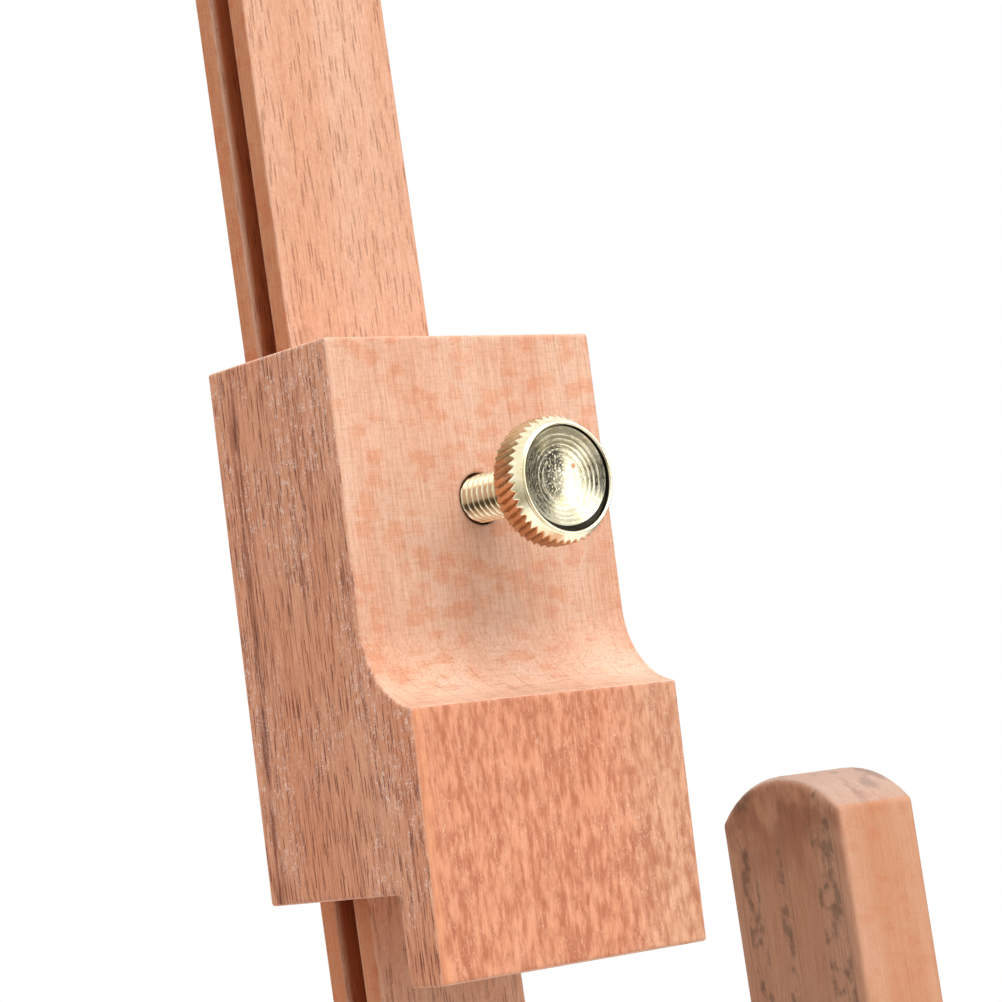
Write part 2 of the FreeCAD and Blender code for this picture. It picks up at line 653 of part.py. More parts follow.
def make_pivot_bolts():
    """Flat-headed bolts that join the struts to the posts, with cap nuts inside the posts."""
    bolts, nuts = [], []
    for _, side in SIDES:
        start = ("%d * (%s - press_gap)" % (side, STRUT_OUTER), 0, "strut_length")
        inward = -outward(side)
        bolts.append(fuse(cone("pivot_head", "pivot_radius", "pivot_head - pivot_radius", start, inward),
                          rod("pivot_radius",
                              "strut_thick + side_gap + post_width + bolt_thread - press_gap",
                              start, inward)))
        nut_at = ("%d * post_inner" % side, 0, "strut_length")
        nuts.append(cut(hexagon("pivot_nut", "nut_height", nut_at, inward),
                        rod("pivot_radius", "bolt_thread", nut_at, inward)))
    node(group(bolts), "pivot_bolts", LEANING)
    node(group(nuts), "pivot_nuts", LEANING)


# ---------------------------------------------------------------- base

BASE_SCREW = screw_kind("base_screw", "runner_width")
BASE_BARS = (("front", "(hinge_y - front_bar_out)"),
             ("rear", "(runner_length / 2 - rear_bar_in - base_bar_depth)"))
BASE_SCREW_PLACES = [
    (("%d * %s" % (side, RUNNER_OUTER), "%s + base_bar_depth / 2 %s base_screw_half" % (start, sign),
      "base_bar_z + base_bar_height / 2"), -outward(side))
    for _, side in SIDES for _, start in BASE_BARS for sign in "-+"
]


def make_runners():
    low, high = "foot_height", "(foot_height + runner_height)"
    front, rear = RUNNER_FRONT, "(runner_length / 2)"
    for name, side in SIDES:
        blank = padded("YZ_Plane", [
            (front, low),
            (rear, low),
            (rear, high + " - runner_nose", "runner_nose", -1),
            (rear + " - runner_nose", high),
            (front + " + runner_nose", high, "runner_nose", -1),
            (front, high + " - runner_nose"),
        ], "runner_width", "wood_round")
        blank.Placement.Base = Vector(value("%d * (%s + runner_width / 2)" % (side, RUNNER_INNER)), 0, 0)
        inner = across(side, RUNNER_INNER, RUNNER_OUTER)
        slot_front, slot_rear = "(hinge_y + slot_start)", "(hinge_y + 2 * strut_length)"
        tools = [rod("bolt_radius", "runner_width", (inner, "hinge_y", "hinge_z"), ALONG_X),
                 rod("slot_half", "runner_width", (inner, slot_front, "hinge_z"), ALONG_X),
                 rod("slot_half", "runner_width", (inner, slot_rear, "hinge_z"), ALONG_X),
                 block("runner_width", "%s - %s" % (slot_rear, slot_front), "2 * slot_half",
                       (inner, slot_front, "hinge_z - slot_half"))]
        own = [place for place in BASE_SCREW_PLACES if value(place[0][0]) * side > 0]
        node(cut(blank, *tools, *screw_bores(BASE_SCREW, own)), "runner_" + name)


def make_base_bars():
    for name, start in BASE_BARS:
        bar = board("2 * " + RUNNER_INNER, "base_bar_depth", "base_bar_height",
                    ("-" + RUNNER_INNER, start, "base_bar_z"), "thin_round")
        own = [place for place in BASE_SCREW_PLACES if start in place[0][1]]
        node(cut(bar, *screw_bores(BASE_SCREW, own)), "base_bar_" + name)
    screws("base_screws", BASE_SCREW, BASE_SCREW_PLACES)


def make_hinge_bolts():
    """Bolts, spacers and nuts of the hinge between the runners and the posts."""
    bolts, spacers, nuts = [], [], []
    reach = "runner_width + 2 * side_gap + strut_thick + post_width + press_gap + bolt_thread"
    gap = "2 * side_gap + strut_thick - fit_gap"
    for _, side in SIDES:
        inward = -outward(side)
        start = ("%d * %s" % (side, RUNNER_OUTER), "hinge_y", "hinge_z")
        socket_at = ("%d * (%s + bolt_head_height - hex_depth)" % (side, RUNNER_OUTER), "hinge_y", "hinge_z")
        head = cone("bolt_head_radius", "bolt_head_radius - bolt_head_taper", "bolt_head_height",
                    start, outward(side))
        bolts.append(cut(fuse(head, rod("bolt_radius", reach, start, inward)),
                         hexagon("hex_socket", "hex_depth", socket_at, outward(side))))
        spacer_at = (across(side, "(post_inner + post_width + fit_gap)", RUNNER_INNER), "hinge_y", "hinge_z")
        spacers.append(cut(rod("spacer_radius", gap, spacer_at, ALONG_X),
                           rod("bolt_radius", gap, spacer_at, ALONG_X)))
        nut_at = ("%d * (post_inner - press_gap)" % side, "hinge_y", "hinge_z")
        nuts.append(cut(hexagon("hinge_nut", "nut_height", nut_at, inward),
                        rod("bolt_radius", "bolt_thread", nut_at, inward)))
    node(group(bolts), "hinge_bolts")
    node(group(spacers), "hinge_spacers")
    node(group(nuts), "hinge_nuts")


def make_feet():
    """Rubber feet under the ends of the runners, each held by a sunk screw."""
    feet, pins = [], []
    for _, side in SIDES:
        middle = "%d * (%s + runner_width / 2)" % (side, RUNNER_INNER)
        for end in (RUNNER_FRONT + " + foot_inset", "runner_length / 2 - foot_inset"):
            pad = cone("foot_radius - foot_taper", "foot_radius", "foot_height", (middle, end, 0))
            feet.append(cut(pad, rod("foot_bore", "foot_height", (middle, end, 0))))
            pins.append(cone("pin_radius", "pin_foot", "foot_height - pin_sunk", (middle, end, "pin_sunk")))
    node(group(feet), "rubber_feet")
    node(group(pins), "foot_pins")


# ---------------------------------------------------------------- whole easel

make_runners()
make_base_bars()
make_hinge_bolts()
make_feet()
make_posts()
make_crossbars()
make_mast_guides()
make_mast()
make_mast_lock()
make_struts()
make_pivot_bolts()
make_holder()
make_tray()
doc.recompute()
check_document()

os.makedirs("parts", exist_ok=True)
for piece in nodes:
    if piece.Shape.isNull() or not piece.Shape.isValid():
        raise RuntimeError("%s has no valid shape" % piece.Label)
for piece in nodes:
    piece.Shape.exportStep(os.path.join("parts", piece.Label + ".step"))
    print("%-24s %2d solids %10.1f mm3" % (piece.Label, len(piece.Shape.Solids), piece.Shape.Volume))
print("%d nodes" % len(nodes))
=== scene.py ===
"""Tabletop easel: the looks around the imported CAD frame, in metres."""

import json
import math

import bpy
from mathutils import Matrix, Vector


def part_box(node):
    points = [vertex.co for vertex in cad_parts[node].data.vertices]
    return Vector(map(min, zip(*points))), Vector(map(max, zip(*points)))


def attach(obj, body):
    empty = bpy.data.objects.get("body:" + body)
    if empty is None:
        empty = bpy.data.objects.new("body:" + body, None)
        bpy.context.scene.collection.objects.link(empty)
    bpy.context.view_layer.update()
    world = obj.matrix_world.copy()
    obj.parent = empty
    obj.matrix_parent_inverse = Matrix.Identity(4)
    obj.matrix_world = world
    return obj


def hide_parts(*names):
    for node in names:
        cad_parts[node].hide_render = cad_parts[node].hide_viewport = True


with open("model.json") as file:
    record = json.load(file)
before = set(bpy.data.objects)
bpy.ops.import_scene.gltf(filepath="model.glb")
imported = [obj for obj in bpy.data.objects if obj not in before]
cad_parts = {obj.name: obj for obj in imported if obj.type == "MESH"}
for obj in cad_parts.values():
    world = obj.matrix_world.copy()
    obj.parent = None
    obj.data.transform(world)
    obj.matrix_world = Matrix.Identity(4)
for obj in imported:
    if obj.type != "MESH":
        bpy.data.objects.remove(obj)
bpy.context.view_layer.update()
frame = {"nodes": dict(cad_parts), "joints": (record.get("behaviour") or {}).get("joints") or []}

NODES = frame["nodes"]
JOINTS = {joint["name"]: joint for joint in frame["joints"]}
MM = 0.001

ACROSS = Vector((1, 0, 0))
BACK = Vector((0, 1, 0))
UP = Vector((0, 0, 1))
MAST = Vector(JOINTS["mast_slide"]["axis"]).normalized()
THROUGH = ACROSS.cross(MAST) * -1
HOLDER_OUT = Vector(JOINTS["holder_screw_turn"]["axis"]).normalized()
HOLDER_UP = HOLDER_OUT.cross(ACROSS) * -1
STRUT = Vector((0, -MAST.y, MAST.z))


# ---------------------------------------------------------------- camera and light

CAMERA_AZIMUTH = math.radians(-39.0)
CAMERA_ELEVATION = math.radians(3.98)
CAMERA_DISTANCE = 0.3772
CAMERA_LENS = 115.0
AIM_FROM_HOLDER = Vector((0.0012, -0.00718, 0.01703))

# each light: the way it comes from, its distance, its side and its power
LIGHTS = {"key": ((4, 62), 1.6, 1.3, 19.5),
          "softbox": ((36, 16), 1.7, 0.75, 4.0),
          "rim": ((172, 30), 1.6, 0.6, 4.0)}
AMBIENT = 1.05
TENT_LOW = (0.42, 0.39, 0.33, 1.0)
TENT_HIGH = (1.10, 1.10, 1.10, 1.0)
TENT_GAP = (0.02, 0.02, 0.02, 1.0)
# azimuth, elevation, angles where a gap is full and where it ends, how far its slats lighten it
TENT_GAPS = ((3, 15, 13, 17, 0.3), (64, 10, 14, 18, 0.2), (-39, -8, 10, 16, 0.5))
FLOOR_RADIUS = 1.0
FLOOR_SIDES = 96
FLOOR_FADE = (0.35, 0.92)


def middle_of(node):
    low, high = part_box(node)
    return (low + high) / 2


def add_camera():
    """Close view of the holder from the left, a little above it."""
    aim = middle_of("holder_block") + AIM_FROM_HOLDER
    back = Vector((math.sin(CAMERA_AZIMUTH) * math.cos(CAMERA_ELEVATION),
                   -math.cos(CAMERA_AZIMUTH) * math.cos(CAMERA_ELEVATION),
                   math.sin(CAMERA_ELEVATION)))
    camera = bpy.data.objects.new("camera", bpy.data.cameras.new("camera"))
    camera.data.lens = CAMERA_LENS
    camera.data.sensor_width = 36.0
    camera.data.clip_start = 0.01
    camera.data.clip_end = 50.0
    camera.location = aim + back * CAMERA_DISTANCE
    camera.rotation_mode = "QUATERNION"
    camera.rotation_quaternion = (-back).to_track_quat("-Z", "Y")
    bpy.context.scene.collection.objects.link(camera)
    bpy.context.scene.camera = camera


def area_light(name, target, way, distance, side, power):
    light = bpy.data.lights.new(name, "AREA")
    light.shape = "SQUARE"
    light.size = side
    light.energy = power
    lamp = bpy.data.objects.new(name, light)
    out = direction(*way)
    lamp.location = target + out * distance
    lamp.rotation_mode = "QUATERNION"
    lamp.rotation_quaternion = (-out).to_track_quat("-Z", "Y")
    bpy.context.scene.collection.objects.link(lamp)


def direction(azimuth, elevation):
    """The way out from the object; azimuth 0 is its front and 90 its right, in degrees."""
    turn, rise = math.radians(azimuth), math.radians(elevation)
    return Vector((math.sin(turn) * math.cos(rise), -math.cos(turn) * math.cos(rise), math.sin(rise)))


def add_studio():
    """White surround, soft lights from above and from the front right, and a pale floor that fades out."""
    bpy.context.scene.view_settings.view_transform = "Standard"
    add_surround()
    for name, setting in LIGHTS.items():
        area_light(name, middle_of("holder_block"), *setting)
    rim = [Vector((FLOOR_RADIUS * math.cos(angle), FLOOR_RADIUS * math.sin(angle), 0))
           for angle in (2 * math.pi * step / FLOOR_SIDES for step in range(FLOOR_SIDES))]
    mesh = bpy.data.meshes.new("floor")
    mesh.from_pydata(rim, [], [tuple(range(FLOOR_SIDES))])
    mesh.materials.append(floor_material())
    floor = bpy.data.objects.new("floor", mesh)
    bpy.context.scene.collection.objects.link(floor)


def add_surround():
    """White behind the object, and round it a soft tent that is bright overhead.

    The tent has darker gaps, which the brass mirrors.
    """
    world = bpy.data.worlds.new("studio")
    bpy.context.scene.world = world
    world.use_nodes = True
    sky = Shader(world.node_tree)
    out = sky.node("ShaderNodeTexCoord").outputs["Generated"]
    height = sky.node("ShaderNodeSeparateXYZ", None, {"Vector": out}).outputs[2]
    tent = sky.mix(sky.ramp(height, -0.35, 0.45), TENT_LOW, TENT_HIGH)
    for azimuth, elevation, inner, outer, stripes in TENT_GAPS:
        middle = sky.dot(out, direction(azimuth, elevation))
        gap = sky.ramp(middle, math.cos(math.radians(outer)), math.cos(math.radians(inner)))
        slats = sky.ramp(sky.noise(sky.scaled(out, 400, 400, 60), 2), 0.5, 0.58)
        shade = sky.math("MULTIPLY", gap, sky.math("SUBTRACT", 1.0, sky.math("MULTIPLY", slats, stripes)))
        tent = sky.mix(shade, tent, TENT_GAP)
    light = sky.node("ShaderNodeBackground", None, {"Color": tent, "Strength": AMBIENT})
    white = sky.node("ShaderNodeBackground", None, {"Color": rgb(1, 1, 1), "Strength": 1.0})
    seen = sky.node("ShaderNodeLightPath").outputs["Is Camera Ray"]
    both = sky.node("ShaderNodeMixShader", None, {0: seen, 1: light, 2: white})
    sky.tree.links.new(both.outputs[0], sky.node("ShaderNodeOutputWorld").inputs["Surface"])


# ---------------------------------------------------------------- node helper

class Shader:
    """Adds nodes to one node tree and joins them."""

    def __init__(self, tree):
        self.tree = tree
        self.tree.nodes.clear()

    @classmethod
    def material(cls, name):
        made = bpy.data.materials.new(name)
        made.use_nodes = True
        shader = cls(made.node_tree)
        shader.made = made
        return shader

    def node(self, kind, settings=None, inputs=None):
        made = self.tree.nodes.new(kind)
        for name, setting in (settings or {}).items():
            setattr(made, name, setting)
        for name, source in (inputs or {}).items():
            self.feed(made.inputs[name], source)
        return made

    def feed(self, socket, source):
        if isinstance(source, bpy.types.NodeSocket):
            self.tree.links.new(source, socket)
        elif isinstance(source, bpy.types.Node):
            self.tree.links.new(source.outputs[0], socket)
        else:
            socket.default_value = source

    def math(self, operation, first, second=0.0):
        return self.node("ShaderNodeMath", {"operation": operation}, {0: first, 1: second})

    def ramp(self, factor, low, high):
        """0 below low, 1 above high, smooth between. Falls instead where low is above high."""
        return self.node("ShaderNodeMapRange", {"interpolation_type": "SMOOTHSTEP"},
                         {"Value": factor, "From Min": low, "From Max": high})

    def mix(self, factor, first, second, blend="MIX"):
        mixed = self.node("ShaderNodeMix", {"data_type": "RGBA", "blend_type": blend})
        self.feed(mixed.inputs["Factor"], factor)
        self.feed(mixed.inputs["A"], first)
        self.feed(mixed.inputs["B"], second)
        return mixed.outputs["Result"]

    def scaled(self, vector, x, y, z):
        """The place counted in cells of these sizes in millimetres."""
        return self.node("ShaderNodeVectorMath", {"operation": "MULTIPLY"},
                         {0: vector, 1: (1 / (x * MM), 1 / (y * MM), 1 / (z * MM))})

    def dot(self, vector, way):
        return self.node("ShaderNodeVectorMath", {"operation": "DOT_PRODUCT"},
                         {0: vector, 1: tuple(way)}).outputs["Value"]

    def moved(self, vector, wander, far):
        """The vector shifted by up to about far, as an uneven value or colour says."""
        centred = self.node("ShaderNodeVectorMath", {"operation": "SUBTRACT"},
                            {0: wander, 1: (0.5, 0.5, 0.5)})
        reach = self.node("ShaderNodeVectorMath", {"operation": "SCALE"}, {0: centred})
        reach.inputs["Scale"].default_value = far * 2
        return self.node("ShaderNodeVectorMath", {"operation": "ADD"}, {0: vector, 1: reach}).outputs[0]

    def stain(self, amount, colour, tint):
        """The colour multiplied by tint, as far as amount says."""
        return self.mix(amount, colour, self.mix(1.0, colour, tint, "MULTIPLY"))

    def product(self, first, *others):
        """All the factors multiplied together."""
        for other in others:
            first = self.math("MULTIPLY", first, other)
        return first

    def cells(self, vector):
        """Distance from the middle of the cell round the vector, and a chance of that cell's own."""
        made = self.node("ShaderNodeTexVoronoi", None, {"Vector": vector, "Scale": 1.0})
        chance = self.node("ShaderNodeSeparateColor", None, {"Color": made.outputs["Color"]})
        return made.outputs["Distance"], chance.outputs[0]

    def noise(self, vector, detail=2.0, roughness=0.5, distortion=0.0):
        return self.node("ShaderNodeTexNoise", None,
                         {"Vector": vector, "Scale": 1.0, "Detail": detail, "Roughness": roughness,
                          "Distortion": distortion})

    def finish(self, surface):
        output = self.node("ShaderNodeOutputMaterial")
        self.tree.links.new(surface.outputs[0], output.inputs["Surface"])
        return self.made


def rgb(red, green, blue):
    return (red, green, blue, 1.0)


# ---------------------------------------------------------------- materials

def floor_material():
    """Matt pale floor that turns clear towards its edge, to meet the white behind without a line."""
    shader = Shader.material("floor")
    place = shader.node("ShaderNodeTexCoord").outputs["Object"]
    soft = shader.noise(shader.scaled(place, 90, 90, 90), 3)
    colour = shader.mix(soft, rgb(0.80, 0.80, 0.80), rgb(0.84, 0.84, 0.84))
    pale = shader.node("ShaderNodeBsdfPrincipled", None, {"Base Color": colour, "Roughness": 0.8})
    radius = shader.node("ShaderNodeVectorMath", {"operation": "LENGTH"}, {0: place}).outputs["Value"]
    clear = shader.ramp(radius, *FLOOR_FADE)
    return shader.finish(shader.node("ShaderNodeMixShader", None,
                                     {0: clear, 1: pale, 2: shader.node("ShaderNodeBsdfTransparent")}))


EDGE_RADIUS = 0.55 * MM


class Wood:
    """How one piece of beech looks: amounts from 0 to 1, and sizes in millimetres."""

    light = rgb(0.77, 0.500, 0.368)
    dark = rgb(0.70, 0.380, 0.248)
    blotch = (1.3, 2.7, 2.0)
    plate = (0.34, 3.0, 4.2)
    fleck = 0.9
    dash = 1.0
    lines = 0.8
    streak = 0.35
    fuzz = 0.3
    fine = 1.0
    end = 0.45
    end_tone = rgb(0.84, 0.60, 0.47)
    # painted shade: a tint that darkens the faces the rays end in, as sides turned from the light
    painted_side_shade = rgb(0.92, 0.735, 0.63)
    rings = 0.6
    ring_step = 2.3
    bump = 0.4

    def __init__(self, **changes):
        for name, value in changes.items():
            setattr(self, name, value)


def beech(name, grain, ray, look, shift=0.0, stain=None):
    """Beech with its growth rings, rays and fibres laid out in the solid.

    grain is the way along the fibres and ray the way along the rays. The rays are thin plates, so a face
    in which they lie shows blotches and a face in which they end shows short dark dashes.
    """
    shader = Shader.material(name)
    tangent = ray.cross(grain)
    turn = Matrix((tangent, ray, grain)).to_euler("XYZ")
    coordinates = shader.node("ShaderNodeTexCoord")
    normal = coordinates.outputs["Normal"]
    wood = shader.node("ShaderNodeMapping", None,
                       {"Vector": coordinates.outputs["Object"], "Rotation": tuple(turn),
                        "Location": (shift, shift * 0.37, shift * 1.7)}).outputs[0]
    facing = [shader.math("ABSOLUTE", shader.dot(normal, way)) for way in (tangent, ray, grain)]
    on_blotched, on_dashed, on_end = [shader.ramp(part, 0.35, 0.85) for part in facing]

    # broad tone
    tone = shader.noise(shader.scaled(wood, 8, 8, 40), 3, 0.5)
    colour = shader.mix(shader.ramp(tone, 0.30, 0.78), look.light, look.dark)
    # painted shade: the faces the rays end in, mostly the sides, are darkened as if turned from the light
    colour = shader.stain(on_dashed, colour, look.painted_side_shade)
    colour = shader.mix(shader.math("MULTIPLY", on_end, look.end), colour, look.end_tone)

    # growth rings, clearest where the grain ends in the surface
    wander = shader.noise(shader.scaled(wood, 22, 30, 45), 3)
    layers = shader.moved(shader.scaled(wood, 1e5, 3.14 * look.ring_step, 1e5), wander, 0.9)
    rings = shader.node("ShaderNodeTexWave", {"bands_direction": "Y", "wave_profile": "SAW"},
                        {"Vector": layers, "Scale": 1.0, "Distortion": 0.0, "Detail": 0.0}).outputs["Fac"]
    broken = shader.ramp(shader.noise(shader.scaled(wood, 3, 0.8, 14), 2), 0.42, 0.55)
    ring_line = shader.math("MULTIPLY", shader.ramp(rings, 0.88, 0.99), broken)
    clearness = shader.math("ADD", 0.18, shader.math("MULTIPLY", on_end, look.rings))
    ring_mask = shader.math("MULTIPLY", ring_line, clearness)
    colour = shader.stain(ring_mask, colour, rgb(0.62, 0.44, 0.36))

    # long streaks along the grain
    streaks = shader.ramp(shader.noise(shader.scaled(wood, 0.9, 1.3, 75), 3, 0.6), 0.57, 0.72)
    depth = shader.math("ADD", 0.4, shader.math("MULTIPLY", on_dashed, 0.9))
    streaks = shader.product(streaks, depth, look.streak)
    colour = shader.stain(streaks, colour, rgb(0.42, 0.30, 0.25))

    # fibres along the grain, and the finest rays across it
    fibre = shader.noise(shader.scaled(wood, 0.15, 0.15, 4.5), 3, 0.65)
    colour = shader.stain(shader.math("MULTIPLY", shader.ramp(fibre, 0.36, 0.68), look.fine), colour,
                          rgb(0.82, 0.74, 0.69))
    across = shader.noise(shader.scaled(wood, 0.16, 2.6, 0.17), 2, 0.6)
    colour = shader.stain(shader.math("MULTIPLY", shader.ramp(across, 0.48, 0.68), 0.8 * look.fine), colour,
                          rgb(0.92, 0.85, 0.80))
    mottle = shader.noise(shader.scaled(wood, 0.35, 0.35, 0.5), 2, 0.6)
    colour = shader.stain(shader.math("MULTIPLY", shader.ramp(mottle, 0.40, 0.70), look.fine), colour,
                          rgb(0.95, 0.88, 0.83))

    # rays: thin plates
    ragged = shader.noise(shader.scaled(wood, 0.5, 0.9, 0.5), 2, 0.6).outputs["Color"]
    cells, chance = shader.cells(shader.moved(shader.scaled(wood, *look.blotch), ragged, 0.45))
    gather = shader.ramp(shader.noise(shader.scaled(wood, 9, 7, 7), 2), 0.33, 0.54)
    blotch = shader.product(shader.ramp(cells, 0.66, 0.34), shader.ramp(chance, 0.28, 0.55),
                            gather, on_blotched, look.fleck)
    colour = shader.stain(blotch, colour, rgb(0.97, 0.79, 0.69))
    cells, chance = shader.cells(shader.moved(shader.scaled(wood, *look.plate), ragged, 0.28))
    slit = shader.product(shader.ramp(cells, 0.44, 0.20), shader.ramp(chance, 0.15, 0.45),
                          shader.math("MAXIMUM", on_dashed, shader.math("MULTIPLY", on_end, 0.3)),
                          look.dash)
    colour = shader.stain(slit, colour, rgb(0.42, 0.31, 0.27))
    lines = shader.product(shader.ramp(shader.noise(shader.scaled(wood, 0.26, 1.2, 7), 3, 0.6), 0.50, 0.64),
                           on_dashed, look.lines)
    colour = shader.stain(lines, colour, rgb(0.55, 0.43, 0.38))

    # raised fibres: pale curly hairs in patches
    curl = shader.noise(shader.scaled(wood, 0.40, 0.40, 0.65), 1, 0.5, 0.9)
    hair = shader.ramp(shader.math("ABSOLUTE", shader.math("SUBTRACT", curl, 0.5)), 0.030, 0.006)
    specks = shader.ramp(shader.noise(shader.scaled(wood, 0.13, 0.13, 0.18), 2, 0.6), 0.58, 0.68)
    hair = shader.math("MAXIMUM", hair, shader.math("MULTIPLY", specks, 0.8))
    patches = shader.ramp(shader.noise(shader.scaled(wood, 0.55, 0.55, 1.0), 2), 0.46, 0.60)
    rough = shader.ramp(shader.noise(shader.scaled(wood, 9, 9, 16), 2), 0.36, 0.58)
    hair = shader.product(hair, patches, rough, shader.math("ADD", 0.10, on_dashed), look.fuzz)
    colour = shader.mix(hair, colour, rgb(0.92, 0.76, 0.70))

    if stain is not None:
        colour = stain(shader, coordinates, wood, colour)

    # the sawn ends are a little darker, and the edges paler as a painted highlight
    colour = shader.stain(shader.math("MULTIPLY", shader.ramp(facing[2], 0.8, 0.97), 0.4), colour,
                          rgb(0.72, 0.60, 0.52))
    bevel = shader.node("ShaderNodeBevel", {"samples": 4}, {"Radius": EDGE_RADIUS})
    plain = shader.node("ShaderNodeNewGeometry")
    turned = shader.node("ShaderNodeVectorMath", {"operation": "DOT_PRODUCT"},
                         {0: bevel, 1: plain.outputs["Normal"]})
    edge = shader.math("MULTIPLY", shader.ramp(turned.outputs["Value"], 0.985, 0.90),
                       shader.ramp(shader.noise(shader.scaled(wood, 1.2, 1.2, 2.5), 3), 0.30, 0.55))
    # painted highlight: a pale, uneven band along the edges
    colour = shader.mix(shader.math("MULTIPLY", edge, 0.45), colour, rgb(0.80, 0.53, 0.41))

    height = shader.math("SUBTRACT", shader.math("MULTIPLY", fibre, 0.5),
                         shader.math("ADD", shader.math("MULTIPLY", slit, 0.8),
                                     shader.math("MULTIPLY", ring_line, 0.15)))
    height = shader.math("ADD", height, shader.math("MULTIPLY", hair, 0.7))
    bump = shader.node("ShaderNodeBump", None,
                       {"Strength": look.bump, "Distance": 0.10 * MM, "Height": height, "Normal": bevel})
    roughness = shader.math("ADD", 0.50, shader.math("MULTIPLY", fibre, 0.22))
    return shader.finish(shader.node("ShaderNodeBsdfPrincipled", None,
                                     {"Base Color": colour, "Roughness": roughness, "Normal": bump,
                                      "Specular IOR Level": 0.3}))


# least roughness of the flat plates and of the screws
SATIN = 0.38
GLOSSY = 0.05


def brass(name):
    """Satin plated brass, pale as champagne, with small pits and the haze of handling."""
    shader = Shader.material(name)
    place = shader.node("ShaderNodeTexCoord").outputs["Object"]
    return brass_surface(shader, place, plating(shader, place), 0.0, 0.0, SATIN)


def plating(shader, place):
    """The uneven colour of the plating."""
    blotch = shader.noise(shader.scaled(place, 1.8, 1.8, 1.8), 3, 0.6)
    return shader.mix(shader.ramp(blotch, 0.35, 0.7), rgb(0.93, 0.86, 0.64), rgb(0.82, 0.72, 0.46))


def brass_surface(shader, place, colour, marks, polished, least_roughness):
    """Finishes a brass material with pits, a fine grit and any marks of the lathe.

    It is smoother where it is polished.
    """
    dull = shader.math("SUBTRACT", 1.0, shader.math("MULTIPLY", polished, 0.7))
    grit = shader.noise(shader.scaled(place, 0.20, 0.20, 0.20), 4, 0.7)
    haze = shader.noise(shader.scaled(place, 1.5, 1.5, 1.5), 3, 0.6)
    pits = shader.product(shader.ramp(grit, 0.60, 0.68), shader.ramp(haze, 0.42, 0.60), 0.75)
    colour = shader.mix(pits, colour, rgb(0.14, 0.11, 0.07))
    height = shader.math("ADD", shader.product(grit, dull, 0.6), marks)
    bump = shader.node("ShaderNodeBump", None, {"Strength": 0.7, "Distance": 0.03 * MM, "Height": height})
    roughness = shader.math("ADD", least_roughness, shader.math("MULTIPLY", haze, 0.14))
    roughness = shader.math("MULTIPLY", dull, roughness)
    return shader.finish(shader.node("ShaderNodeBsdfPrincipled", None,
                                     {"Base Color": colour, "Metallic": 1.0, "Roughness": roughness,
                                      "Normal": bump}))


